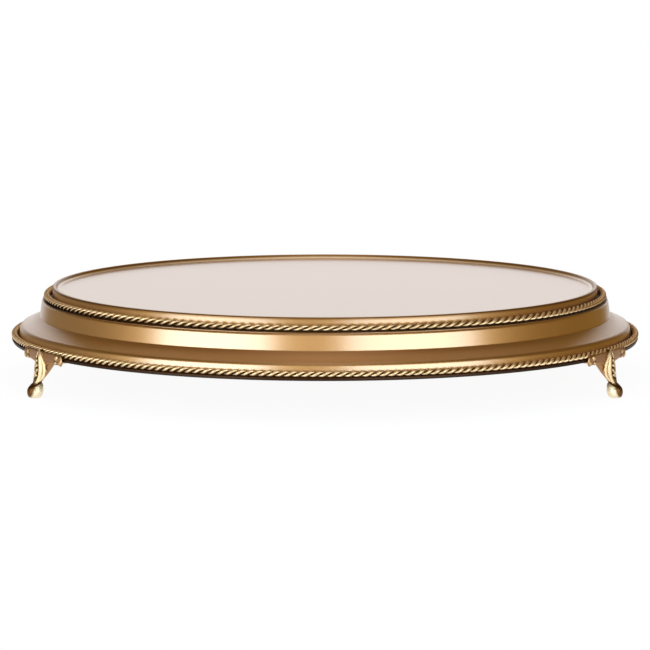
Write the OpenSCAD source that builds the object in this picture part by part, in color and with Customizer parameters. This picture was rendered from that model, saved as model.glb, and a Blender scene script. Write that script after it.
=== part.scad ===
// Round two-tier cake stand: spun metal pans with rope trim, standing on three cast legs.
// The origin is on the axis, at table height. The front, between two legs, faces -Y.

/* [Overall] */
// Diameter over the lower rope
base_d = 457.2; // [400:0.1:520]
// Height of the base ring's underside above the table
leg_h = 27.7; // [24:0.1:36]
// Clearance between pieces that are put together loosely
fit_gap = 0.1; // [0.05:0.05:0.2]

/* [Sheet metal] */
// Thickness of the spun pans
sheet_t = 0.9; // [0.6:0.05:1.4]
// Inside radius of the pans' bends
bend_r = 1; // [0.6:0.1:1.6]

/* [Base pan] */
// Height of the foot wall, from the flange up to the sloping shelf
foot_wall_h = 8.6; // [6:0.1:14]
// How far the foot wall leans in over its height
foot_wall_lean = 0.9; // [0:0.1:2]
// Radial width of the sloping shelf
shelf_w = 14.2; // [10:0.1:24]
// Rise of the sloping shelf
shelf_rise = 6.6; // [4:0.1:12]
// Outside radius of the shelf's rounded edge
shelf_edge_bend = 3; // [1.6:0.1:4]
// Height of the riser above the shelf
riser_h = 11.8; // [8:0.1:20]
// How far the riser leans in over its height
riser_lean = 1.6; // [0:0.1:3]
// Width of the ledge that carries the deck
ledge_w = 26; // [18:0.5:40]
// How far the lower flange stops short of the outside of its rope
lower_flange_short = 0.4; // [0.1:0.1:1]

/* [Deck pan] */
// Height of the deck pan, from its seat to the top of its lip
deck_h = 9.9; // [7.5:0.1:14]
// Height of the lip above the deck
lip_h = 2.5; // [2:0.1:4]
// How far the lip's inner side leans out over its height
lip_lean = 1.4; // [0.4:0.1:2]
// Radius of the hollow between the lip and the deck
lip_cove = 2; // [1:0.1:3]
// Gap inside the top of the folded lip
hem_gap = 0.8; // [0.4:0.1:1.6]
// How far the upper flange reaches past the outside of its rope
upper_flange_reach = 0.6; // [0:0.1:1]

/* [Rope trim] */
// Diameter over the twisted wires
rope_d = 4.6; // [3:0.1:6]
// Width of the groove between the lower rope and the foot wall
lower_groove = 1; // [0.5:0.1:2]
// Width of the groove between the upper rope and the deck wall
upper_groove = 1.9; // [0.5:0.1:3]
// Distance from the riser's shoulder in to the outside of the upper rope
upper_rope_inset = 1.3; // [1:0.1:3]

/* [Deck board] */
// Gap between the edge of the board and the deck wall
board_edge_gap = 2; // [1:0.5:5]

/* [Base ring] */
// Thickness of the base ring
ring_t = 1.2; // [0.8:0.1:2]
// Radial width of the base ring
ring_w = 27.6; // [24:0.1:40]
// How far the base ring stops short of the outside of the lower rope
ring_short = 1; // [0.5:0.1:2]

/* [Legs] */
// Height of the ankle, the leg's narrowest place
ankle_z = 12; // [9:0.1:15]
// Diameter of the ankle
ankle_d = 7.2; // [6:0.1:10]
// How far the middle of the ankle stands outside the rim
ankle_out = 2.6; // [0:0.1:4]
// Length of the paw, towards its toes
paw_l = 11.6; // [10:0.1:18]
// Width of the paw
paw_w = 11.4; // [9:0.1:16]
// How far the middle of the paw stands outside the rim
paw_out = 5.4; // [2:0.1:8]
// Width of the knee under the base ring
knee_w = 20; // [14:0.5:26]
// How far the top of the knee stays below the base ring
knee_drop = 0.4; // [0.2:0.1:1]
// Depth of the knee behind the rim
knee_depth = 12; // [8:0.1:16]
// Span of the two wings, which stand in front of the lower rope
wing_span = 60; // [50:0.5:70]
// Thickness of the wings
wing_t = 1; // [0.8:0.1:3]
// How far the wings reach up in front of the lower rope
wing_over = 2.7; // [1:0.1:4.5]
// How far the wings' lower edge dips from the scrolls to the knee
wing_dip = 5.4; // [2:0.1:8]
// Clearance between the wings and the lower rope
wing_gap = 0.15; // [0.1:0.05:0.5]
// Diameter of the scrolls at the ends of the wings
scroll_d = 8; // [6:0.1:10]
// Thickness of the scrolls, counted from the middle of the wings
scroll_t = 1.8; // [1.2:0.1:4]

/* [Cartouche] */
// Height of the almond cartouche on the front of a leg
almond_h = 23.5; // [20:0.1:32]
// Width of the cartouche
almond_w = 17; // [12:0.1:22]
// Thickness of the cartouche
almond_t = 2.8; // [2:0.1:4]
// How far the cartouche rises above the lower rope
almond_over = 0.2; // [0:0.1:3]
// Backward lean of the cartouche
almond_lean = 6.5; // [2:0.1:8]
// Clearance between the cartouche and the lower rope
almond_gap = 0.4; // [0.2:0.1:1]

/* [Leg screws] */
// Nominal diameter of the screws
screw_d = 4; // [3:0.5:5]
// Radial clearance of the screws in the ring and the legs
screw_clear = 0.25; // [0.15:0.05:0.5]
// Distance between the two screws of a leg
screw_pitch = 18; // [14:0.5:24]
// Distance from the ring's outer edge in to the screws
screw_inset = 15.6; // [12:0.1:19]
// Length of the countersunk screws, over all
screw_l = 10; // [9:0.5:14]
// Thickness of the lug that the screws hold
lug_t = 3.2; // [2.4:0.1:4]
// Width of metal round a screw's head in the lug
lug_rim = 1.5; // [0.5:0.1:2.5]

/* [Hidden] */
$fn = 96;
round_fn = 240;
hex_fn = 6;
ring_points = 32;
bend_steps = 6;
cut_over = 1;

// Directions of the legs from the axis, with the rear one behind
left_leg_angle = 210;
right_leg_angle = 330;
rear_leg_angle = 90;
leg_angles = [left_leg_angle, right_leg_angle, rear_leg_angle];

// Heights from the table up
ring_z = leg_h;
base_flange_z = ring_z + ring_t;
foot_wall_z = base_flange_z + sheet_t;
shelf_edge_z = foot_wall_z + foot_wall_h;
shelf_fold_z = shelf_edge_z + shelf_rise;
ledge_z = shelf_fold_z + riser_h;
deck_wall_z = ledge_z + sheet_t;
lip_z = ledge_z + deck_h;
deck_z = lip_z - lip_h;
lower_rope_z = foot_wall_z + fit_gap + rope_d / 2;
upper_rope_z = deck_wall_z + fit_gap + rope_d / 2;

// Radii from the rim in
rim_r = base_d / 2;
lower_rope_r = rim_r - rope_d / 2;
base_flange_r = rim_r - lower_flange_short;
foot_wall_r = rim_r - rope_d - lower_groove;
shelf_edge_r = foot_wall_r - foot_wall_lean;
shelf_fold_r = shelf_edge_r - shelf_w;
shoulder_r = shelf_fold_r - riser_lean;
ledge_r = shoulder_r - ledge_w;
upper_rope_r = shoulder_r - upper_rope_inset - rope_d / 2;
deck_flange_r = shoulder_r - upper_rope_inset + upper_flange_reach;
deck_wall_r = upper_rope_r - rope_d / 2 - upper_groove;
ring_r = rim_r - ring_short;

// The folded lip is two sheets thick with the hem's gap between them, and wider at its foot
lip_w = 2 * sheet_t + hem_gap;
lip_r = sheet_t + hem_gap / 2 - fit_gap;
lip_in_r = deck_wall_r - lip_w;
lip_foot_r = lip_in_r - lip_lean;

// The board fills the space between the ledge and the deck
board_r = deck_wall_r - sheet_t - board_edge_gap - lip_w / 2;
board_t = deck_z - sheet_t - ledge_z - 2 * fit_gap;

// Screws, washers and nuts in the usual metric proportions
screw_r = ring_r - screw_inset;
head_d = 2 * screw_d;
head_h = (head_d - screw_d) / 2;
recess_l = 1.1 * screw_d;
recess_w = 0.24 * screw_d;
recess_h = 0.4 * screw_d;
washer_d = 2.25 * screw_d;
washer_t = 0.2 * screw_d;
nut_flats = 1.75 * screw_d;
nut_h = 0.8 * screw_d;
thread_gap = 0.05;
hole_d = screw_d + 2 * screw_clear;
sink_d = head_d + 2 * thread_gap;
sink_h = (sink_d - hole_d) / 2;
lug_d = head_d + 2 * lug_rim;
lug_z = leg_h - lug_t;
washer_z = base_flange_z;
nut_z = washer_z + washer_t;

// The leg's wings reach down to the underside of their scrolls
knee_z = leg_h - knee_drop;
wing_top_z = lower_rope_z - rope_d / 2 + wing_over;
wing_z = wing_top_z - scroll_d;
wing_half = (wing_span - scroll_d) / 2;
wing_in_r = rim_r + wing_gap;

// Sheet sections

function unit(v) = v / norm(v);
function left(v) = [-v.y, v.x];
function turned(v, a) = [v.x * cos(a) - v.y * sin(a), v.x * sin(a) + v.y * cos(a)];
function mix(a, b, t) = a + (b - a) * t;

// Points and outward normals of the bend at b, on the way from a to c.
// A bend takes at most 0.45 of each straight, so that neighbours never run into each other.
function bend(a, b, c, r) =
    let (
        before = unit(b - a),
        after = unit(c - b),
        turn = atan2(cross(before, after), before * after),
        reach = min(r * tan(abs(turn) / 2), 0.45 * min(norm(b - a), norm(c - b))),
        radius = sign(turn) * reach / tan(abs(turn) / 2),
        centre = b - before * reach + left(before) * radius
    )
    [for (i = [0:bend_steps])
        let (normal = turned(left(before), turn * i / bend_steps))
        [centre - normal * radius, normal]];

// Section of a sheet whose outside runs through the corners, each bent to its radius
function sheet(corners, radii, t) =
    let (
        last = len(corners) - 1,
        line = concat(
            [[corners[0], left(unit(corners[1] - corners[0]))]],
            [for (i = [1:last - 1]) each bend(corners[i - 1], corners[i], corners[i + 1], radii[i - 1])],
            [[corners[last], left(unit(corners[last] - corners[last - 1]))]]
        )
    )
    concat(
        [for (p = line) p[0]],
        [for (i = [len(line) - 1:-1:0]) line[i][0] - line[i][1] * t]
    );

// Deck and base pans

module deck_pan() {
    corners = [
        [0, deck_z],
        [lip_foot_r, deck_z],
        [lip_in_r, lip_z],
        [deck_wall_r, lip_z],
        [deck_wall_r, deck_wall_z],
        [deck_flange_r, deck_wall_z]
    ];
    color("#c9a46a")
        rotate_extrude($fn = round_fn)
            polygon(sheet(corners, [lip_cove, lip_r, lip_r, bend_r], sheet_t));
}

module base_pan() {
    outside_bend = bend_r + sheet_t;
    corners = [
        [ledge_r, ledge_z],
        [shoulder_r, ledge_z],
        [shelf_fold_r, shelf_fold_z],
        [shelf_edge_r, shelf_edge_z],
        [foot_wall_r, foot_wall_z],
        [base_flange_r, foot_wall_z]
    ];
    color("#b88a4c")
        rotate_extrude($fn = round_fn)
            polygon(sheet(corners, [outside_bend, bend_r, shelf_edge_bend, bend_r], sheet_t));
}

module deck_board() {
    color("#8a6a48")
        translate([0, 0, ledge_z + fit_gap])
            cylinder(r = board_r, h = board_t, $fn = round_fn);
}

// Rope trim, at the size over its twisted wires

module rope(r, z) {
    rotate_extrude($fn = round_fn)
        translate([r, z])
            circle(d = rope_d);
}

module upper_rope() {
    color("#e0bd88") rope(upper_rope_r, upper_rope_z);
}

module lower_rope() {
    color("#e0bd88") rope(lower_rope_r, lower_rope_z);
}

// Base ring

module at_leg(direction) {
    rotate([0, 0, direction]) children();
}

module at_screws() {
    for (side = [-1, 1])
        translate([screw_r, side * screw_pitch / 2, 0])
            children();
}

module base_ring() {
    color("#4a3018")
        difference() {
            translate([0, 0, ring_z])
                cylinder(r = ring_r, h = ring_t, $fn = round_fn);
            translate([0, 0, ring_z - cut_over])
                cylinder(r = ring_r - ring_w, h = ring_t + 2 * cut_over, $fn = round_fn);
            for (direction = leg_angles)
                at_leg(direction)
                    at_screws()
                        translate([0, 0, ring_z - cut_over])
                            cylinder(d = hole_d, h = ring_t + 2 * cut_over);
        }
}

// Legs, each drawn on +X and turned to its place

// A ring of the leg: height, half width, and how far its back and front stand from the rim
function paw_ring(height, swell) =
    let (
        middle = mix(ankle_out, paw_out, swell),
        half = mix(ankle_d, paw_l, swell) / 2
    )
    [height * ankle_z, mix(ankle_d, paw_w, swell) / 2, middle - half, middle + half];

function knee_ring(rise) = [
    mix(ankle_z, knee_z, rise),
    mix(ankle_d, knee_w, pow(rise, 1.4)) / 2,
    mix(ankle_out - ankle_d / 2, -knee_depth, rise),
    mix(ankle_out + ankle_d / 2, wing_gap + wing_t / 2, rise)
];

// The paw starts below the table, where its sole is cut flat
leg_rings = concat(
    [for (s = [[-0.1, 0.7], [0.1, 0.92], [0.3, 1], [0.5, 1], [0.7, 0.8], [0.87, 0.4]]) paw_ring(s[0], s[1])],
    [for (rise = [0:0.2:1]) knee_ring(rise)]
);

function blunt(v) = sign(v) * pow(abs(v), 0.75);

function ring_outline(ring) =
    [for (i = [0:ring_points - 1])
        let (
            a = 360 * i / ring_points,
            out = (ring[3] + ring[2]) / 2 + blunt(cos(a)) * (ring[3] - ring[2]) / 2
        )
        [rim_r + out, ring[1] * blunt(sin(a)), ring[0]]];

module leg_casting() {
    rings = len(leg_rings);
    top = rings * ring_points;
    sole_middle = [rim_r + paw_out, 0, leg_rings[0][0]];
    crown_middle = [rim_r - knee_depth / 2, 0, knee_z];
    points = concat(
        [for (r = leg_rings) each ring_outline(r)],
        [sole_middle, crown_middle]
    );
    sides = [for (k = [0:rings - 2], i = [0:ring_points - 1])
        let (
            a = k * ring_points + i,
            b = k * ring_points + (i + 1) % ring_points
        )
        each [[a, a + ring_points, b], [b, a + ring_points, b + ring_points]]];
    sole = [for (i = [0:ring_points - 1]) [top, i, (i + 1) % ring_points]];
    crown = [for (i = [0:ring_points - 1])
        [top + 1, top - ring_points + (i + 1) % ring_points, top - ring_points + i]];
    polyhedron(points, concat(sides, sole, crown));
}

// Half width and height of the wings' lower edge, from inside the knee out to the scrolls
wing_edge = [for (share = [0:0.1:1])
    [mix(ankle_d / 2, wing_half, share), wing_z - wing_dip * pow(1 - share, 2.2)]];

module wings() {
    last = len(wing_edge) - 1;
    intersection() {
        rotate_extrude($fn = round_fn)
            translate([wing_in_r, 0])
                square([wing_t, wing_top_z]);
        rotate([90, 0, 90])
            linear_extrude(2 * rim_r)
                polygon(concat(
                    [for (p = wing_edge) p],
                    [[wing_half, wing_top_z], [-wing_half, wing_top_z]],
                    [for (i = [last:-1:0]) [-wing_edge[i].x, wing_edge[i].y]]
                ));
    }
    for (side = [-1, 1])
        rotate([0, 0, side * asin(wing_half / wing_in_r)])
            translate([wing_in_r + wing_t / 2, 0, wing_top_z - scroll_d / 2])
                rotate([0, 90, 0])
                    cylinder(d = scroll_d, h = scroll_t);
}

// Almond of two arcs, standing in front of the rope
module cartouche() {
    arc_r = (almond_h * almond_h + almond_w * almond_w) / (4 * almond_w);
    top_z = lower_rope_z + rope_d / 2 + almond_over;
    translate([rim_r + almond_gap, 0, lower_rope_z])
        rotate([0, -almond_lean, 0])
            translate([0, 0, top_z - lower_rope_z - almond_h / 2])
                rotate([90, 0, 90])
                    linear_extrude(almond_t)
                        intersection() {
                            translate([arc_r - almond_w / 2, 0]) circle(arc_r);
                            translate([almond_w / 2 - arc_r, 0]) circle(arc_r);
                        }
}

module lug() {
    translate([0, 0, lug_z])
        linear_extrude(lug_t) {
            at_screws() circle(d = lug_d);
            translate([screw_r - lug_d / 2, -screw_pitch / 2])
                square([rim_r - screw_r + lug_d / 2 - knee_depth / 2, screw_pitch]);
        }
}

module leg() {
    color("#d8b478")
        difference() {
            union() {
                leg_casting();
                wings();
                cartouche();
                lug();
            }
            at_screws() {
                translate([0, 0, lug_z - cut_over])
                    cylinder(d = hole_d, h = lug_t + 2 * cut_over);
                translate([0, 0, lug_z - cut_over])
                    cylinder(d1 = sink_d + 2 * cut_over, d2 = hole_d, h = sink_h + cut_over);
            }
            translate([rim_r + paw_out, 0, -ankle_z / 2])
                cube([2 * paw_l, 2 * paw_w, ankle_z], center = true);
        }
}

module leg_front_left() {
    at_leg(left_leg_angle) leg();
}

module leg_front_right() {
    at_leg(right_leg_angle) leg();
}

module leg_rear() {
    at_leg(rear_leg_angle) leg();
}

// Fasteners, two to a leg

module at_all_screws() {
    for (direction = leg_angles)
        at_leg(direction)
            at_screws()
                children();
}

// Countersunk screw with its head flush with the underside of the lug
module screw() {
    difference() {
        union() {
            cylinder(d1 = head_d, d2 = screw_d, h = head_h);
            cylinder(d = screw_d, h = screw_l);
        }
        for (turn = [0, 90])
            rotate([0, 0, turn])
                translate([-recess_l / 2, -recess_w / 2, -cut_over])
                    cube([recess_l, recess_w, recess_h + cut_over]);
    }
}

module leg_screws() {
    color("#c8c8c4")
        at_all_screws()
            translate([0, 0, lug_z])
                screw();
}

module leg_washers() {
    color("#c8c8c4")
        at_all_screws()
            translate([0, 0, washer_z])
                difference() {
                    cylinder(d = washer_d, h = washer_t);
                    translate([0, 0, -cut_over])
                        cylinder(d = hole_d, h = washer_t + 2 * cut_over);
                }
}

module leg_nuts() {
    color("#c8c8c4")
        at_all_screws()
            translate([0, 0, nut_z])
                difference() {
                    cylinder(d = nut_flats / cos(180 / hex_fn), h = nut_h, $fn = hex_fn);
                    translate([0, 0, -cut_over])
                        cylinder(d = screw_d + 2 * thread_gap, h = nut_h + 2 * cut_over);
                }
}

deck_pan();
deck_board();
upper_rope();
base_pan();
lower_rope();
base_ring();
leg_front_left();
leg_front_right();
leg_rear();
leg_screws();
leg_washers();
leg_nuts();
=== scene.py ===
import math

import bpy
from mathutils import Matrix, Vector


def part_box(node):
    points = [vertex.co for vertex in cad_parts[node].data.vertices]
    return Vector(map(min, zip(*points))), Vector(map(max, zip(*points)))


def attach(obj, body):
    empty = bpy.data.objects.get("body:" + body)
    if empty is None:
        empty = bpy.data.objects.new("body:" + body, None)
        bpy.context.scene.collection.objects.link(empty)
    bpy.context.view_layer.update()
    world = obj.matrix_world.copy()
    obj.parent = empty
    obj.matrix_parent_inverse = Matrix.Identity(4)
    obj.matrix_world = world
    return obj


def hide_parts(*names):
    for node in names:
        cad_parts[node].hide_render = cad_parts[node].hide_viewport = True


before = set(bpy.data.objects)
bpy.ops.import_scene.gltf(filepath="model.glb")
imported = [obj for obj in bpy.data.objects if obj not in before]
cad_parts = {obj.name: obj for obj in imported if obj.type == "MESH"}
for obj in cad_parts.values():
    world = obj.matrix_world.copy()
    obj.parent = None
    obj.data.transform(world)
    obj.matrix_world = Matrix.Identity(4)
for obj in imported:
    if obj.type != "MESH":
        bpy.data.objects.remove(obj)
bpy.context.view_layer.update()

# Sizes, in metres. What the frame's boxes give is read from them, and the rest is written in millimetres.
MM = 0.001
TURN = 2 * math.pi
weld = 0.001 * MM

lower_rope_low, lower_rope_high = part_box("lower_rope")
upper_rope_low, upper_rope_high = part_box("upper_rope")
deck_low, deck_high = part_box("deck_pan")
base_low, base_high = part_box("base_pan")
ring_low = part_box("base_ring")[0]

rim_r = lower_rope_high.x
rope_d = lower_rope_high.z - lower_rope_low.z
lower_rope_r = lower_rope_high.x - rope_d / 2
lower_rope_z = (lower_rope_high.z + lower_rope_low.z) / 2
upper_rope_r = upper_rope_high.x - rope_d / 2
upper_rope_z = (upper_rope_high.z + upper_rope_low.z) / 2

# Spun pans
sheet_t = 0.9 * MM
bend_r = 1.0 * MM
lip_h = 2.5 * MM
lip_lean = 1.4 * MM
lip_flat = 0.2 * MM
lip_cove = 2.0 * MM
hem_gap = 0.8 * MM
lower_groove = 1.0 * MM
upper_groove = 1.9 * MM
foot_wall_h = 8.6 * MM
foot_wall_lean = 0.9 * MM
shelf_w = 14.2 * MM
shelf_rise = 6.6 * MM
shelf_sag = 0.5 * MM
shelf_edge_bend = 3.0 * MM
cove_bend = 40.0 * MM
riser_lean = 1.6 * MM
ledge_w = 26.0 * MM
deck_middle_r = 20.0 * MM
pan_sides = 256
bend_steps = 6
bend_hold = 0.08 * MM

lip_w = 2 * sheet_t + hem_gap
deck_wall_r = -upper_rope_low.x - rope_d - upper_groove
deck_z = deck_high.z - lip_h
foot_wall_r = rim_r - rope_d - lower_groove
edge_z = base_low.z + sheet_t + foot_wall_h
fold_z = edge_z + shelf_rise

# Twisted ropes
lower_twists = 122
upper_twists = 97
twist_steps = 12
wire_sides = 10
wire_gap = 0.02 * MM

# Legs
leg_h = ring_low.z
leg_angles = {"leg_front_left": 210, "leg_front_right": 330, "leg_rear": 90}
casting_grain = 0.38 * MM


# Modelling steps

def deselect_all():
    if bpy.context.object and bpy.context.object.mode != "OBJECT":
        bpy.ops.object.mode_set(mode="OBJECT")
    bpy.ops.object.select_all(action="DESELECT")


def edit_new(name):
    """Names the primitive that was just added and opens it for editing, all selected."""
    piece = bpy.context.object
    piece.name = name
    piece.data.name = name
    bpy.ops.object.mode_set(mode="EDIT")
    bpy.ops.mesh.select_all(action="SELECT")
    return piece


def close_edit():
    """Welds the piece that is open, turns its faces outwards and leaves edit mode."""
    bpy.ops.mesh.select_all(action="SELECT")
    bpy.ops.mesh.remove_doubles(threshold=weld)
    bpy.ops.mesh.normals_make_consistent(inside=False)
    bpy.ops.object.mode_set(mode="OBJECT")


def turn_selected(angle, axis, centre):
    """Turns what is selected by the right-hand rule, which the operator takes the other way round."""
    bpy.ops.transform.rotate(value=-angle, orient_axis=axis, orient_type="GLOBAL",
                             center_override=centre)


def apply_modifiers(piece):
    bpy.context.view_layer.objects.active = piece
    for modifier in list(piece.modifiers):
        bpy.ops.object.modifier_apply(modifier=modifier.name)


def smooth(piece, degrees):
    deselect_all()
    piece.select_set(True)
    bpy.context.view_layer.objects.active = piece
    bpy.ops.object.shade_smooth_by_angle(angle=math.radians(degrees))


def dress(piece, node, material):
    """The piece stands for the CAD node, in the material that is given."""
    piece.data.materials.clear()
    piece.data.materials.append(material)
    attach(piece, "root")
    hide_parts(node)


def polish_flats(piece, material):
    """Gives the level faces of a pan the glossier lacquer."""
    level_normal = 0.97
    piece.data.materials.append(material)
    for face in piece.data.polygons:
        if face.normal.z > level_normal:
            face.material_index = 1


# Spun pans

def rounded(corners, radii):
    """The outline through the corners, with each inner corner turned into an arc of its radius.
    A short hold before and after each arc keeps the flats between them evenly shaded."""
    line = [Vector(corners[0])]
    for before, corner, after, radius in zip(corners, corners[1:], corners[2:], radii):
        before, corner, after = Vector(before), Vector(corner), Vector(after)
        arriving = (corner - before).normalized()
        leaving = (after - corner).normalized()
        turn = arriving.angle_signed(leaving)
        reach = radius * math.tan(abs(turn) / 2)
        side = Vector((arriving.y, -arriving.x)) * math.copysign(radius, turn)
        centre = corner - arriving * reach + side
        line.append(corner - arriving * (reach + bend_hold))
        for step in range(bend_steps + 1):
            angle = -turn * step / bend_steps
            spoke = -side
            line.append(centre + Vector((
                spoke.x * math.cos(angle) - spoke.y * math.sin(angle),
                spoke.x * math.sin(angle) + spoke.y * math.cos(angle),
            )))
        line.append(corner + leaving * (reach + bend_hold))
    line.append(Vector(corners[-1]))
    return line


def spun_shell(name, outline, closed=False):
    """A circle extruded from point to point of its outline, and filled at the last if it is closed."""
    deselect_all()
    start = outline[0]
    bpy.ops.mesh.primitive_circle_add(vertices=pan_sides, radius=start.x)
    piece = edit_new(name)
    bpy.ops.transform.translate(value=(0, 0, start.y))
    for here, there in zip(outline, outline[1:]):
        rise = (0, 0, there.y - here.y)
        bpy.ops.mesh.extrude_region_move(TRANSFORM_OT_translate={"value": rise})
        share = there.x / here.x
        bpy.ops.transform.resize(value=(share, share, 1), center_override=(0, 0, 0))
    if closed:
        bpy.ops.mesh.edge_face_add()
    close_edit()
    return piece


def give_thickness(piece, outward):
    """Sheet metal: the outline is the outside of the pan, and the thickness lies behind it."""
    wall = piece.modifiers.new("sheet", "SOLIDIFY")
    wall.thickness = sheet_t
    wall.offset = -1 if outward else 1
    wall.use_even_offset = True
    apply_modifiers(piece)
    smooth(piece, 40)


def make_deck_pan():
    """The top tray, from its flange up the wall and over the folded lip to the middle of the deck."""
    flange_z = deck_low.z + sheet_t
    lip_r = (lip_w - lip_flat) / 2
    corners = [
        (deck_high.x, flange_z),
        (deck_wall_r, flange_z),
        (deck_wall_r, deck_high.z),
        (deck_wall_r - lip_w, deck_high.z),
        (deck_wall_r - lip_w - lip_lean, deck_z),
        (deck_middle_r, deck_z),
    ]
    piece = spun_shell("spun_deck", rounded(corners, [bend_r, lip_r, lip_r, lip_cove]), closed=True)
    give_thickness(piece, faces_up(piece))
    return piece


def make_base_pan():
    """The shell, from its flange up the foot wall, over the hollow shelf and up the riser to its ledge."""
    flange_z = base_low.z + sheet_t
    edge_r = foot_wall_r - foot_wall_lean
    fold_r = edge_r - shelf_w
    shoulder_r = fold_r - riser_lean
    slope = Vector((fold_r - edge_r, fold_z - edge_z))
    hollow = Vector((-slope.y, slope.x)).normalized() * shelf_sag
    cove = [Vector((edge_r, edge_z)) + slope * share + hollow * (4 * share * (1 - share))
            for share in (0.25, 0.5, 0.75)]
    corners = [
        (base_high.x, flange_z),
        (foot_wall_r, flange_z),
        (edge_r, edge_z),
        *cove,
        (fold_r, fold_z),
        (shoulder_r, base_high.z),
        (shoulder_r - ledge_w, base_high.z),
    ]
    outside_bend = bend_r + sheet_t
    radii = [bend_r, shelf_edge_bend, cove_bend, cove_bend, cove_bend, bend_r, outside_bend]
    piece = spun_shell("spun_base", rounded(corners, radii))
    give_thickness(piece, faces_up(piece))
    return piece


def faces_up(piece):
    """Whether the faces of an open shell look up and out, as the outside of a pan does."""
    return sum(face.normal.z * face.area for face in piece.data.polygons) > 0


# Twisted ropes

def make_rope(name, radius, height, twists):
    """Two wires twisted left-handed: one twist is drawn at the right and repeated round the stand."""
    wire_d = rope_d / 2 - wire_gap
    pitch = TURN * radius / twists
    slant = math.atan2(TURN * wire_d / 2, pitch)
    centre = (radius, 0, height)
    deselect_all()
    bpy.ops.mesh.primitive_circle_add(vertices=wire_sides, radius=wire_d / 2)
    piece = edit_new(name)
    turn_selected(TURN / 4, "X", (0, 0, 0))
    bpy.ops.transform.resize(value=(1, 1, 1 / math.cos(slant)), center_override=(0, 0, 0))
    bpy.ops.transform.translate(value=(radius + wire_d / 2, 0, height))
    bpy.ops.mesh.duplicate()
    turn_selected(TURN / 2, "Y", centre)
    bpy.ops.mesh.select_all(action="SELECT")
    for step in range(twist_steps):
        bpy.ops.mesh.extrude_region_move()
        turn_selected(-TURN / twist_steps, "Y", centre)
        bpy.ops.mesh.select_all(action="INVERT")
        turn_selected(-TURN / twists / twist_steps, "Z", (0, 0, 0))
        bpy.ops.mesh.select_all(action="INVERT")
    bpy.ops.mesh.select_all(action="SELECT")
    bpy.ops.mesh.spin(steps=twists, dupli=True, angle=TURN, center=(0, 0, 0), axis=(0, 0, 1))
    bpy.ops.mesh.select_all(action="SELECT")
    bpy.ops.mesh.remove_doubles(threshold=0.01 * MM)
    close_edit()
    smooth(piece, 60)
    return piece


# Cast legs, modelled on +X and turned to their places.
# A place on a leg is how far it lies out from the rim, across the leg and up from the table, in mm.

def place(out, across, up):
    """A place on the leg at +X; the rim falls back to both sides of it, and the leg follows."""
    return Vector((rim_r + out * MM - (across * MM) ** 2 / (2 * rim_r), across * MM, up * MM))


def sweep(stations, sides=20, along="Z"):
    """A closed limb: a circle, or a square for 4 sides, extruded through its stations.
    A station is a centre, the half size out from the rim and the other half size."""
    deselect_all()
    bpy.ops.mesh.primitive_circle_add(vertices=sides, radius=1 * MM, fill_type="NGON")
    piece = edit_new("limb")
    if sides == 4:
        turn_selected(TURN / 8, "Z", (0, 0, 0))
        bpy.ops.transform.resize(value=(math.sqrt(2), math.sqrt(2), 1), center_override=(0, 0, 0))
    if along == "Y":
        turn_selected(TURN / 4, "X", (0, 0, 0))
    here = Vector((0, 0, 0))
    size = (1, 1)
    for index, (centre, out, other) in enumerate(stations):
        if index:
            bpy.ops.mesh.extrude_region_move()
        bpy.ops.transform.translate(value=centre - here)
        grow = (out / size[0], other / size[1])
        value = (grow[0], grow[1], 1) if along == "Z" else (grow[0], 1, grow[1])
        bpy.ops.transform.resize(value=value, center_override=centre)
        here = centre
        size = (out, other)
    close_edit()
    return piece


def bead(centre, radii, lean=0):
    """A rounded boss of the three half sizes, in mm, that may lean over across the leg by some degrees."""
    deselect_all()
    bpy.ops.mesh.primitive_uv_sphere_add(segments=20, ring_count=12, radius=1 * MM)
    piece = edit_new("bead")
    bpy.ops.transform.resize(value=radii, center_override=(0, 0, 0))
    turn_selected(math.radians(lean), "X", (0, 0, 0))
    bpy.ops.transform.translate(value=centre)
    close_edit()
    return piece


# Sizes of a leg in mm, with heights above the table
knee_top = leg_h / MM - 0.4
wing_top = 32.5
wing_foot = 25.2
wing_dip = 5.4
wing_rise = 20.0
panel_front = 1.05
panel_back = 0.15
web_middle = 0.1
web_half = 0.9
cartouche_top = 34.3
cartouche_low = 9.6
cartouche_half = 7.9
cartouche_flank = 0.66


def wing_low(across):
    """Height of the wing's lower edge, which dips towards the knee."""
    share = min(1, across / wing_rise)
    return wing_foot - wing_dip * (1 - share) ** 2.2


def cartouche(share):
    """Half width, reach and height of the cartouche, from its top (0) to its foot (1), in mm.
    It is widest below its middle, falls back at the top and juts out at the foot."""
    half = cartouche_half * math.sin(math.pi * share ** 1.5) ** 0.62
    reach = 4.1 - 2.0 * (1 - share) ** 5 + 3.0 * share ** 6
    height = cartouche_top + (cartouche_low - cartouche_top) * share
    return half, reach, height


def leg_post():
    """From under the ring down through the knee to the ankle, with a groove above the paw."""
    stations = [
        (place(-5.0, 0, knee_top), 6.4, 9.5),
        (place(-3.8, 0, 24.5), 6.0, 8.8),
        (place(-2.4, 0, 21.0), 4.9, 7.4),
        (place(-1.0, 0, 17.5), 3.8, 5.8),
        (place(0.6, 0, 14.8), 3.2, 4.4),
        (place(2.0, 0, 13.2), 3.3, 3.8),
        (place(2.9, 0, 12.0), 3.1, 3.2),
        (place(3.6, 0, 10.9), 2.9, 3.0),
        (place(4.6, 0, 8.0), 4.0, 4.0),
    ]
    return sweep(stations)


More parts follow.
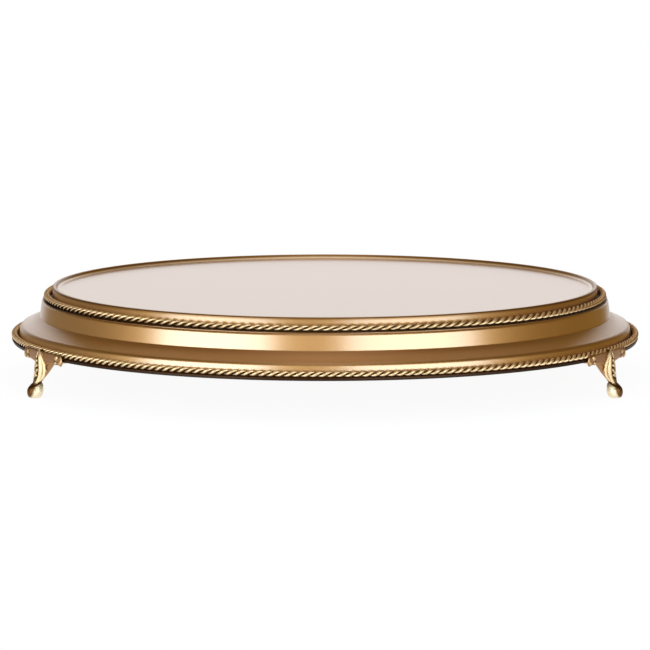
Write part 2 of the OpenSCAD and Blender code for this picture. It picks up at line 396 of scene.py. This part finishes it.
def leg_wing(side):
    """A thin panel in front of the rope, and a thicker web behind its lower part, under the ring."""
    panel = []
    web = []
    for across in (0, 2.2, 3, 4, 5.5, 7, 9, 11, 14, 17, 20, 23, 26, 27.5):
        low = wing_low(across)
        spread = side * across
        panel.append((place((panel_front + panel_back) / 2, spread, (wing_top + low) / 2),
                      (panel_front - panel_back) / 2, (wing_top - low) / 2))
        web.append((place(web_middle, spread, (knee_top + low) / 2), web_half, (knee_top - low) / 2))
    return [sweep(panel, sides=4, along="Y"), sweep(web, sides=4, along="Y")]


def leg_scroll(side):
    """The curled end of a wing: a tall drop with two berries beside it."""
    return [
        bead(place(0.5, side * 27.3, 28.7), (1.1, 2.8, 4.2), lean=side * 12),
        bead(place(0.5, side * 27.5, 27.2), (1.4, 2.3, 2.5)),
        bead(place(0.6, side * 22.7, 30.0), (1.4, 2.1, 2.2)),
        bead(place(0.6, side * 21.6, 26.4), (1.3, 1.5, 1.4)),
    ]


def leg_cartouche():
    """Two ribbed bands on the flanks of the knee, a narrow sunk field and berries down its middle."""
    field_sink = 3.5
    field_half = 2.3
    field_share = 0.75
    berry_sink = 0.4
    leaf_share = 0.62
    limbs = []
    steps = 22
    shares = [0.01 + 0.98 * step / steps for step in range(steps + 1)]
    for side in (-1, 1):
        for spread in (0.43, 0.54, 0.79, 0.89):
            ridge = []
            for share in shares:
                half, reach, height = cartouche(share)
                girth = 0.3 + 0.12 * half
                fall = cartouche_flank * (spread - 0.38) * half + 0.7 * girth
                ridge.append((place(reach - fall, side * spread * half, height), girth, girth))
            limbs.append(sweep(ridge, sides=12))
    field = []
    for share in shares:
        half, reach, height = cartouche(share)
        field.append((place(reach - field_sink, 0, height), field_half, 0.3 + field_share * half))
    limbs.append(sweep(field))
    for share, size in ((0.33, 1.35), (0.47, 1.5), (0.75, 1.4)):
        reach, height = cartouche(share)[1:]
        limbs.append(bead(place(reach - berry_sink, 0, height), (size, size, size)))
    reach, height = cartouche(leaf_share)[1:]
    for side in (-1, 1):
        centre = place(reach - berry_sink, side * 0.9, height)
        limbs.append(bead(centre, (1.5, 1.2, 2.0), lean=side * -28))
    return limbs


def leg_paw():
    """A round paw that leans out to its four toes, which lie side by side round its front."""
    bun = [
        (place(5.7, 0, 0.0), 3.4, 3.4),
        (place(5.7, 0, 0.8), 4.6, 4.6),
        (place(5.5, 0, 2.4), 5.3, 5.3),
        (place(5.2, 0, 4.4), 5.6, 5.6),
        (place(4.9, 0, 6.4), 5.4, 5.4),
        (place(4.4, 0, 8.2), 4.9, 4.9),
        (place(3.9, 0, 9.6), 4.1, 4.1),
        (place(3.6, 0, 10.4), 3.2, 3.2),
    ]
    limbs = [sweep(bun)]
    heel_out = 5.3
    toe_reach = 3.2
    toe_z = 4.0
    for degrees in (-75, -25, 25, 75):
        turn = math.radians(degrees)
        centre = place(heel_out + toe_reach * math.cos(turn), toe_reach * math.sin(turn), toe_z)
        limbs.append(bead(centre, (2.6, 2.5, 4.4)))
    return limbs


def leg_lug():
    """The flat lug behind the knee, drilled and countersunk for the two screws."""
    screw_out = -16.6
    half_pitch = 9.0
    hole_r = 2.25
    sink_r = 4.3
    lug_l = 16.0
    lug_w = 2 * half_pitch + 10.0
    lug_t = 3.2
    lug_out = -13.9
    middle = leg_h / MM - lug_t / 2
    deselect_all()
    bpy.ops.mesh.primitive_cube_add(size=1 * MM)
    slab = edit_new("lug")
    bpy.ops.transform.resize(value=(lug_l, lug_w, lug_t), center_override=(0, 0, 0))
    bpy.ops.transform.translate(value=place(lug_out, 0, middle))
    bpy.ops.mesh.bevel(offset=0.5 * MM, segments=2)
    close_edit()
    for side in (-1, 1):
        spot = place(screw_out, 0, middle) + Vector((0, side * half_pitch * MM, 0))
        deselect_all()
        bpy.ops.mesh.primitive_cylinder_add(vertices=32, radius=hole_r * MM, depth=2 * lug_t * MM)
        drill = edit_new("drill")
        bpy.ops.mesh.primitive_cone_add(vertices=32, radius1=sink_r * MM, radius2=0, depth=sink_r * MM,
                                        location=(0, 0, (sink_r - lug_t) * MM / 2))
        bpy.ops.mesh.select_all(action="SELECT")
        bpy.ops.transform.translate(value=spot)
        close_edit()
        cut = slab.modifiers.new("hole", "BOOLEAN")
        cut.operation = "DIFFERENCE"
        cut.object = drill
        cut.use_self = True
        apply_modifiers(slab)
        bpy.data.objects.remove(drill)
    return slab


def make_leg():
    """All the limbs of a leg, cast into one skin with softened creases."""
    limbs = [leg_post(), leg_lug()] + leg_cartouche() + leg_paw()
    for side in (-1, 1):
        limbs.extend(leg_wing(side))
        limbs.extend(leg_scroll(side))
    deselect_all()
    for limb in limbs:
        limb.select_set(True)
    leg = limbs[0]
    bpy.context.view_layer.objects.active = leg
    bpy.ops.object.join()
    leg.name = "leg_pattern"
    cast = leg.modifiers.new("cast", "REMESH")
    cast.mode = "VOXEL"
    cast.voxel_size = casting_grain
    soften = leg.modifiers.new("soften", "SMOOTH")
    soften.factor = 0.5
    soften.iterations = 3
    apply_modifiers(leg)
    level_sole(leg)
    smooth(leg, 180)
    return leg


def level_sole(leg):
    """Cuts the paw flat where it stands on the table."""
    sole_z = 0.02 * MM
    deselect_all()
    leg.select_set(True)
    bpy.context.view_layer.objects.active = leg
    bpy.ops.object.mode_set(mode="EDIT")
    bpy.ops.mesh.select_all(action="SELECT")
    bpy.ops.mesh.bisect(plane_co=(0, 0, sole_z), plane_no=(0, 0, 1),
                        use_fill=True, clear_inner=True, threshold=weld)
    bpy.ops.object.mode_set(mode="OBJECT")


def leg_copy(pattern, name, degrees):
    """A copy of the leg, turned to its place round the stand."""
    deselect_all()
    pattern.select_set(True)
    bpy.context.view_layer.objects.active = pattern
    bpy.ops.object.duplicate()
    piece = edit_new(name)
    turn_selected(math.radians(degrees), "Z", (0, 0, 0))
    bpy.ops.object.mode_set(mode="OBJECT")
    return piece


# Materials

RANGE = "ShaderNodeMapRange"
MATH = "ShaderNodeMath"
MIX = "ShaderNodeMixRGB"
SOFT = {"interpolation_type": "SMOOTHSTEP"}


def colour(hex_value):
    """An sRGB hex colour as the linear colour that the shaders take."""
    parts = [int(hex_value[i:i + 2], 16) / 255 for i in (1, 3, 5)]
    linear = [p / 12.92 if p <= 0.04045 else ((p + 0.055) / 1.055) ** 2.4 for p in parts]
    return (*linear, 1.0)


def new_material(name):
    """An empty material and its node tree."""
    material = bpy.data.materials.new(name)
    material.use_nodes = True
    tree = material.node_tree
    tree.nodes.clear()
    return material, tree


def add(tree, kind, settings=None, links=None):
    """Adds a node, with settings for its properties or sockets and links into its sockets.
    A link comes from a node's first output, or from the output that is given."""
    made = tree.nodes.new(kind)
    for key, value in (settings or {}).items():
        if isinstance(key, str) and hasattr(made, key):
            setattr(made, key, value)
        else:
            made.inputs[key].default_value = value
    for key, source in (links or {}).items():
        output = source.outputs[0] if isinstance(source, bpy.types.Node) else source
        tree.links.new(output, made.inputs[key])
    return made


def between(tree, value, middle, edges_mm):
    """1 between the two inner edges, counted from the middle, and falling softly to 0 at the outer two."""
    start, full, last, end = [middle + edge * MM for edge in edges_mm]
    rise = add(tree, RANGE, {**SOFT, "From Min": start, "From Max": full}, {0: value})
    fall = add(tree, RANGE, {**SOFT, "From Min": end, "From Max": last}, {0: value})
    return add(tree, MATH, {"operation": "MULTIPLY"}, {0: rise, 1: fall})


def from_axis(tree, parts):
    """Distance from the stand's axis, from the parts of a place."""
    flat = add(tree, "ShaderNodeCombineXYZ", None, {0: parts.outputs[0], 1: parts.outputs[1]})
    return add(tree, "ShaderNodeVectorMath", {"operation": "LENGTH"}, {0: flat}).outputs["Value"]


def gold_lacquer(name, gloss):
    """Gold lacquer on spun steel: a warm brown gold under a clear coat that goes pale at low angles.
    Painted shade darkens the pan under the ropes, on the lip, in the fold and along the edge of the shelf,
    and a painted pale reflection lightens the hollow inside the lip."""
    material, tree = new_material(name)
    where = add(tree, "ShaderNodeTexCoord")
    parts = add(tree, "ShaderNodeSeparateXYZ", None, {0: where.outputs["Object"]})
    up = parts.outputs[2]
    reach = from_axis(tree, parts)

    # Real flake is finer, and this is coarse enough to show.
    flake_mm = 1.2
    flake = add(tree, "ShaderNodeTexNoise", {"Scale": 1 / (flake_mm * MM), "Detail": 3.0},
                {"Vector": where.outputs["Object"]})
    gold = add(tree, MIX, {1: colour("#ae7a40"), 2: colour("#ba864a")}, {0: flake})

    lip_z = deck_high.z
    rope_z = lower_rope_low.z
    # Painted shade: the flange under the lower rope is painted dark.
    painted_shade_under_rope = add(tree, RANGE, {**SOFT, "From Min": rope_z + 0.5 * MM, "From Max": rope_z}, {0: up})
    # Painted shade on the lip: over its top, and down the outer side of the lip.
    lip = add(tree, RANGE, {**SOFT, "From Min": lip_z - 1.8 * MM, "From Max": lip_z - 1.0 * MM}, {0: up})
    lip_rise = add(tree, RANGE, {**SOFT, "From Min": lip_z - 2.6 * MM, "From Max": lip_z - 0.6 * MM},
                   {0: up})
    lip_out = add(tree, RANGE,
                  {**SOFT, "From Min": deck_wall_r - 0.8 * MM, "From Max": deck_wall_r - 0.3 * MM},
                  {0: reach})
    painted_shade_outside_lip = add(tree, MATH, {"operation": "MULTIPLY"}, {0: lip_rise, 1: lip_out})
    # Painted shade, each with its share: under the upper rope, in the fold, along the edge of the shelf
    # and on the lip.
    painted_shade_zones = (
        (between(tree, up, upper_rope_low.z, (-1.0, -0.5, 0.1, 0.4)), 1.0),
        (between(tree, up, fold_z, (-4.0, -0.3, 0.0, 0.8)), 0.18),
        (between(tree, up, edge_z, (-1.9, -1.1, 0.2, 1.0)), 0.2),
        (lip, 0.34),
        (painted_shade_outside_lip, 0.62),
    )
    shade = painted_shade_under_rope
    for zone, share in painted_shade_zones:
        painted_light_share = add(tree, MATH, {"operation": "MULTIPLY", 1: share}, {0: zone})
        shade = add(tree, MATH, {"operation": "MAXIMUM"}, {0: shade, 1: painted_light_share})

    # Painted reflection: the hollow inside the lip is painted pale.
    hollow = between(tree, reach, deck_wall_r, (-7.6, -6.6, -1.56, -1.04))
    above_deck = between(tree, up, deck_z, (0.002, 0.03, 0.6, 1.2))
    painted_pale_reflection = add(tree, MATH, {"operation": "MULTIPLY"}, {0: hollow, 1: above_deck})
    # The painted shade is mixed in dark brown, then the painted reflection in pale.
    shaded = add(tree, MIX, {2: colour("#381c04")}, {0: shade, 1: gold})
    tone = add(tree, MIX, {2: colour("#f0d8c2")}, {0: painted_pale_reflection, 1: shaded})

    # The clear coat thins where the painted shade lies, so that the painted shade stays dark.
    coat = add(tree, RANGE, {"From Max": 0.6, "To Min": 1.0, "To Max": 0.05}, {0: shade})
    normal = add(tree, "ShaderNodeSeparateXYZ", None, {0: where.outputs["Normal"]})
    level = add(tree, RANGE, {**SOFT, "From Min": 0.95, "From Max": 0.99}, {0: normal.outputs[2]})
    grain = add(tree, RANGE, {"To Min": 0.43, "To Max": 0.49}, {0: flake})
    polish = add(tree, RANGE, {"To Min": 1.0, "To Max": 0.75}, {0: level})
    sheen = add(tree, MATH, {"operation": "MULTIPLY"}, {0: grain, 1: polish})
    bump = add(tree, "ShaderNodeBump", {"Strength": 0.02, "Distance": 0.05 * MM}, {"Height": flake})
    skin = add(tree, "ShaderNodeBsdfPrincipled",
               {"Metallic": 1.0, "Coat IOR": 2.1, "Coat Roughness": gloss},
               {"Base Color": tone, "Roughness": sheen, "Coat Weight": coat, "Normal": bump})
    add(tree, "ShaderNodeOutputMaterial", None, {"Surface": skin})
    return material


def gold_wire(name, radius, height):
    """Gilt twisted wire: bright on the backs of the wires, with painted shade that is brown between them
    and almost black on their undersides."""
    material, tree = new_material(name)
    where = add(tree, "ShaderNodeTexCoord")
    parts = add(tree, "ShaderNodeSeparateXYZ", None, {0: where.outputs["Object"]})
    in_out = add(tree, MATH, {"operation": "SUBTRACT", 1: radius}, {0: from_axis(tree, parts)})
    up_down = add(tree, MATH, {"operation": "SUBTRACT", 1: height}, {0: parts.outputs[2]})
    section = add(tree, "ShaderNodeCombineXYZ", None, {0: in_out, 1: up_down})
    depth = add(tree, "ShaderNodeVectorMath", {"operation": "LENGTH"}, {0: section})
    # Painted shade between the wires: brown towards the rope's core.
    clear_of_painted_shade = add(tree, RANGE, {**SOFT, "From Min": 0.16 * rope_d, "From Max": 0.38 * rope_d},
                {0: depth.outputs["Value"]})
    normal = add(tree, "ShaderNodeSeparateXYZ", None, {0: where.outputs["Normal"]})
    # Painted shade: the downward faces of the wires are painted almost black.
    upper = add(tree, RANGE, {**SOFT, "From Min": -0.95, "From Max": -0.5}, {0: normal.outputs[2]})
    gilt = add(tree, MIX, {1: colour("#6a4826"), 2: colour("#d8b890")}, {0: clear_of_painted_shade})
    tone = add(tree, MIX, {1: colour("#3a1e08")}, {0: upper, 2: gilt})
    skin = add(tree, "ShaderNodeBsdfPrincipled", {"Metallic": 1.0, "Roughness": 0.42},
               {"Base Color": tone})
    add(tree, "ShaderNodeOutputMaterial", None, {"Surface": skin})
    return material


def across_leg(tree, parts, reach):
    """Distance to the nearest leg's middle plane, for three legs evenly spaced with one on +Y."""
    cosine = add(tree, MATH, {"operation": "DIVIDE"}, {0: parts.outputs[0], 1: reach})
    square = add(tree, MATH, {"operation": "MULTIPLY"}, {0: cosine, 1: cosine})
    turn = add(tree, MATH, {"operation": "MULTIPLY_ADD", 1: 4 / 3, 2: -1.0}, {0: square})
    across = add(tree, MATH, {"operation": "MULTIPLY"}, {0: parts.outputs[0], 1: turn})
    return add(tree, MATH, {"operation": "ABSOLUTE"}, {0: across})


def gilt_casting():
    """Gilt casting: pale on its raised forms, with a painted highlight on the paw that makes it paler
    and painted shade that makes the flat wings browner. Painted shade also darkens the creases, the sunk
    field of the cartouche, the groove above the paw and the toes."""
    material, tree = new_material("gilt_casting")
    where = add(tree, "ShaderNodeTexCoord")
    parts = add(tree, "ShaderNodeSeparateXYZ", None, {0: where.outputs["Object"]})
    up = parts.outputs[2]
    reach = from_axis(tree, parts)
    shape = add(tree, "ShaderNodeNewGeometry").outputs["Pointiness"]

    # Painted shade: the flat wings, close to the rim, are painted browner than the raised forms.
    raised = add(tree, RANGE, {**SOFT, "From Min": rim_r + 1.1 * MM, "From Max": rim_r + 2.0 * MM},
                 {0: reach})
    # Painted highlight: the paw is painted paler.
    paw = add(tree, RANGE, {**SOFT, "From Min": 11.0 * MM, "From Max": 9.0 * MM}, {0: up})

    # Painted shade on the toes, which lean out from the paw.
    toe_lean = 0.35
    leaning = add(tree, MATH, {"operation": "MULTIPLY_ADD", 1: toe_lean}, {0: up, 2: reach})
    toe_front = add(tree, RANGE, {**SOFT, "From Min": rim_r + 9.0 * MM, "From Max": rim_r + 11.0 * MM},
                    {0: leaning})
    below_ankle = add(tree, RANGE, {**SOFT, "From Min": 13.0 * MM, "From Max": 11.0 * MM}, {0: up})
    toes = add(tree, MATH, {"operation": "MULTIPLY"}, {0: toe_front, 1: below_ankle})

    # Painted shade in the groove above the paw.
    groove_lean = 0.47
    groove_z = groove_lean * rim_r + 12.2 * MM
    tilted = add(tree, MATH, {"operation": "MULTIPLY_ADD", 1: groove_lean}, {0: reach, 2: up})
    groove = between(tree, tilted, groove_z, (-1.0, -0.4, 0.3, 0.9))

    # Painted shade in the creases and in the sunk field of the cartouche.
    middle = add(tree, RANGE, {**SOFT, "From Min": 2.9 * MM, "From Max": 1.9 * MM},
                 {0: across_leg(tree, parts, reach)})
    above_paw = add(tree, RANGE, {**SOFT, "From Min": 11.0 * MM, "From Max": 13.0 * MM}, {0: up})
    field = add(tree, MATH, {"operation": "MULTIPLY"}, {0: middle, 1: above_paw})
    field_depth = -0.045
    sunk = add(tree, MATH, {"operation": "MULTIPLY_ADD", 1: field_depth}, {0: field, 2: shape})
    clear_of_painted_shade = add(tree, RANGE, {**SOFT, "From Min": 0.43, "From Max": 0.51}, {0: sunk})
    outside_crease_shade = add(tree, MATH, {"operation": "SUBTRACT", "use_clamp": True}, {0: clear_of_painted_shade, 1: groove})

    # The flat wings' painted shade against the raised forms' gilt.
    upper_gilt = add(tree, MIX, {1: colour("#aa8058"), 2: colour("#d8ba94")}, {0: raised})
    # The paw's painted highlight.
    gilt = add(tree, MIX, {2: colour("#f2e2c4")}, {0: paw, 1: upper_gilt})
    # The toes' painted shade.
    toned = add(tree, MIX, {2: colour("#6a4622")}, {0: toes, 1: gilt})
    # Painted shade in the creases, the sunk field and the groove above the paw.
    tone = add(tree, MIX, {1: colour("#4c3216")}, {0: outside_crease_shade, 2: toned})
    # The raised forms and the paw's painted highlight are rougher than the wings.
    painted_light_share = add(tree, MATH, {"operation": "MAXIMUM"}, {0: raised, 1: paw})
    satin = add(tree, RANGE, {"To Min": 0.3, "To Max": 0.5}, {0: painted_light_share})
    skin = add(tree, "ShaderNodeBsdfPrincipled", {"Metallic": 1.0},
               {"Base Color": tone, "Roughness": satin})
    add(tree, "ShaderNodeOutputMaterial", None, {"Surface": skin})
    return material


def shade_dark_steel():
    """Steel ring with painted shade: almost black brown, for the shade under the lower rope,
    with a dull gloss and faint clouds.
    """
    material, tree = new_material("shade_dark_steel")
    where = add(tree, "ShaderNodeTexCoord")
    cloud_mm = 6.0
    cloud = add(tree, "ShaderNodeTexNoise", {"Scale": 1 / (cloud_mm * MM), "Detail": 4.0},
                {"Vector": where.outputs["Object"]})
    tone = add(tree, MIX, {1: colour("#1c0f05"), 2: colour("#2a180a")}, {0: cloud})
    skin = add(tree, "ShaderNodeBsdfPrincipled", {"Metallic": 0.6, "Roughness": 0.5},
               {"Base Color": tone})
    add(tree, "ShaderNodeOutputMaterial", None, {"Surface": skin})
    return material


def hardboard():
    """Pressed fibreboard: flat brown with a short fibre fleck."""
    material, tree = new_material("pressed_hardboard")
    where = add(tree, "ShaderNodeTexCoord")
    fleck_mm = 2.5
    fleck = add(tree, "ShaderNodeTexNoise",
                {"Scale": 1 / (fleck_mm * MM), "Detail": 6.0, "Roughness": 0.7},
                {"Vector": where.outputs["Object"]})
    tone = add(tree, MIX, {1: colour("#5a4028"), 2: colour("#8a6a48")}, {0: fleck})
    bump = add(tree, "ShaderNodeBump", {"Strength": 0.3, "Distance": 0.2 * MM}, {"Height": fleck})
    skin = add(tree, "ShaderNodeBsdfPrincipled", {"Roughness": 0.75},
               {"Base Color": tone, "Normal": bump})
    add(tree, "ShaderNodeOutputMaterial", None, {"Surface": skin})
    return material


def zinc_plate():
    """Zinc plated steel: pale grey, softly glossy and slightly clouded."""
    material, tree = new_material("zinc_plated_steel")
    where = add(tree, "ShaderNodeTexCoord")
    cloud_mm = 1.5
    cloud = add(tree, "ShaderNodeTexNoise", {"Scale": 1 / (cloud_mm * MM), "Detail": 3.0},
                {"Vector": where.outputs["Object"]})
    tone = add(tree, MIX, {1: colour("#b4b6b8"), 2: colour("#d0d2d2")}, {0: cloud})
    skin = add(tree, "ShaderNodeBsdfPrincipled", {"Metallic": 1.0, "Roughness": 0.32},
               {"Base Color": tone})
    add(tree, "ShaderNodeOutputMaterial", None, {"Surface": skin})
    return material


# Camera, floor and light

def make_camera():
    """A long lens in front of the stand, a little above it, that looks down by its pitch in degrees."""
    distance = 2.485
    height = 0.357
    pitch = 7.36
    camera = bpy.data.objects.new("camera", bpy.data.cameras.new("camera"))
    bpy.context.scene.collection.objects.link(camera)
    camera.location = (0, -distance, height)
    camera.rotation_euler = (math.radians(90 - pitch), 0, 0)
    camera.data.sensor_width = 36.0
    camera.data.lens = 189.6
    bpy.context.scene.camera = camera


def seen_directly(tree):
    """1 for rays of the camera, mirrors and glass, which see the studio, and 1 for the camera alone."""
    path = add(tree, "ShaderNodeLightPath")
    camera = path.outputs["Is Camera Ray"]
    first = add(tree, MATH, {"operation": "MAXIMUM"}, {0: camera, 1: path.outputs["Is Glossy Ray"]})
    direct = add(tree, MATH, {"operation": "MAXIMUM"},
                 {0: first, 1: path.outputs["Is Transmission Ray"]})
    return direct, camera


def make_floor():
    """A white table, wide enough for the shadow; the studio behind it is as white."""
    width = 0.74
    depth = 0.80
    set_back = 0.05
    glow_share = 0.94
    deselect_all()
    bpy.ops.mesh.primitive_plane_add(size=1)
    floor = edit_new("floor")
    bpy.ops.transform.resize(value=(width, depth, 1), center_override=(0, 0, 0))
    bpy.ops.transform.translate(value=(0, set_back, 0))
    bpy.ops.mesh.subdivide(number_cuts=3)
    close_edit()
    material, tree = new_material("white_studio_table")
    direct = seen_directly(tree)[0]
    matt = add(tree, "ShaderNodeBsdfDiffuse", {"Color": colour("#f4f4f4")})
    glow = add(tree, "ShaderNodeEmission", {"Color": colour("#ffffff"), "Strength": 1.0})
    share = add(tree, MATH, {"operation": "MULTIPLY", 1: glow_share}, {0: direct})
    both = add(tree, "ShaderNodeMixShader", None, {0: share, 1: matt, 2: glow})
    add(tree, "ShaderNodeOutputMaterial", None, {"Surface": both})
    floor.data.materials.append(material)


def make_world():
    """White all round for the camera. Metal shows the white backdrop behind the stand, a bright strip
    overhead and a dim warm room, which is paler in front of the stand."""
    world = bpy.data.worlds.new("studio")
    bpy.context.scene.world = world
    world.use_nodes = True
    tree = world.node_tree
    tree.nodes.clear()
    direct, camera = seen_directly(tree)
    where = add(tree, "ShaderNodeTexCoord").outputs["Generated"]
    parts = add(tree, "ShaderNodeSeparateXYZ", None, {0: where})
    rightward = parts.outputs[0]
    upward = parts.outputs[2]

    right = add(tree, RANGE, {**SOFT, "From Min": -0.9, "From Max": 0.9}, {0: rightward})
    walls = add(tree, MIX, {1: colour("#95835f"), 2: colour("#8e6f23")}, {0: right})
    high = add(tree, RANGE, {**SOFT, "From Min": 0.3, "From Max": 0.6}, {0: upward})
    dim = add(tree, MIX, {2: colour("#715921")}, {0: high, 1: walls})

    towards_front = add(tree, "ShaderNodeVectorMath", {"operation": "DOT_PRODUCT", 1: (0, -1, 0)},
                        {0: where})
    front = add(tree, RANGE, {**SOFT, "From Min": 0.8, "From Max": 0.97},
                {0: towards_front.outputs["Value"]})
    paler = add(tree, MIX, {2: colour("#b5a585")}, {0: front, 1: dim})

    aside = add(tree, MATH, {"operation": "ABSOLUTE"}, {0: rightward})
    narrow = add(tree, RANGE, {**SOFT, "From Min": 0.4, "From Max": 0.05}, {0: aside})
    overhead = add(tree, RANGE, {**SOFT, "From Min": 0.55, "From Max": 0.8}, {0: upward})
    strip = add(tree, MATH, {"operation": "MULTIPLY"}, {0: narrow, 1: overhead})
    room = add(tree, MIX, {2: colour("#fff0d0")}, {0: strip, 1: paler})

    backdrop = (-0.03, 0.996, 0.087)
    towards_back = add(tree, "ShaderNodeVectorMath", {"operation": "DOT_PRODUCT", 1: backdrop},
                       {0: where})
    back = add(tree, RANGE, {**SOFT, "From Min": 0.85, "From Max": 0.96},
               {0: towards_back.outputs["Value"]})
    white = add(tree, MATH, {"operation": "MAXIMUM"}, {0: back, 1: camera})
    shown = add(tree, MIX, {2: colour("#ffffff")}, {0: white, 1: room})

    seen = add(tree, "ShaderNodeBackground", {"Strength": 1.0}, {"Color": shown})
    cast = add(tree, "ShaderNodeBackground", {"Color": colour("#ffffff"), "Strength": 1.0})
    both = add(tree, "ShaderNodeMixShader", None, {0: direct, 1: cast, 2: seen})
    add(tree, "ShaderNodeOutputWorld", None, {"Surface": both})


def softbox(name, azimuth, elevation, distance, width, height, watts):
    """A lamp that faces the stand, with its azimuth counted from the front to the right, in degrees."""
    lamp = bpy.data.objects.new(name, bpy.data.lights.new(name, "AREA"))
    bpy.context.scene.collection.objects.link(lamp)
    round_stand = math.radians(azimuth)
    above_table = math.radians(elevation)
    direction = Vector((
        math.sin(round_stand) * math.cos(above_table),
        -math.cos(round_stand) * math.cos(above_table),
        math.sin(above_table),
    ))
    lamp.location = direction * distance
    lamp.rotation_euler = (-lamp.location).to_track_quat("-Z", "Y").to_euler()
    lamp.data.shape = "RECTANGLE"
    lamp.data.size = width
    lamp.data.size_y = height
    lamp.data.color = colour("#ddf1f6")[:3]
    lamp.data.energy = watts


# Making

make_camera()
lacquer = gold_lacquer("gold_lacquer_on_spun_steel", gloss=0.24)
deck_lacquer = gold_lacquer("polished_gold_lacquer_on_spun_steel", gloss=0.15)
lower_wire = gold_wire("gilt_twisted_wire_lower", lower_rope_r, lower_rope_z)
upper_wire = gold_wire("gilt_twisted_wire_upper", upper_rope_r, upper_rope_z)
casting = gilt_casting()

deck = make_deck_pan()
dress(deck, "deck_pan", lacquer)
polish_flats(deck, deck_lacquer)
dress(make_base_pan(), "base_pan", lacquer)

upper_rope = make_rope("twisted_upper_rope", upper_rope_r, upper_rope_z, upper_twists)
dress(upper_rope, "upper_rope", upper_wire)
lower_rope = make_rope("twisted_lower_rope", lower_rope_r, lower_rope_z, lower_twists)
dress(lower_rope, "lower_rope", lower_wire)

pattern = make_leg()
for node, degrees in leg_angles.items():
    dress(leg_copy(pattern, "cast_" + node, degrees), node, casting)
bpy.data.objects.remove(pattern)

# The ring, the board and the fasteners show the solids themselves; the ring's colour is a painted shade.
kept = {"base_ring": shade_dark_steel(), "deck_board": hardboard()}
zinc = zinc_plate()
for node in ("leg_screws", "leg_washers", "leg_nuts"):
    kept[node] = zinc
for node, material in kept.items():
    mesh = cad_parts[node].data
    mesh.materials.clear()
    mesh.materials.append(material)

make_floor()
make_world()
softbox("left_softbox", azimuth=-43.3, elevation=8, distance=2.2, width=1.9, height=1.2, watts=43)
softbox("right_softbox", azimuth=33.3, elevation=8, distance=2.2, width=2.1, height=1.2, watts=40)

bpy.context.scene.view_settings.view_transform = "Standard"
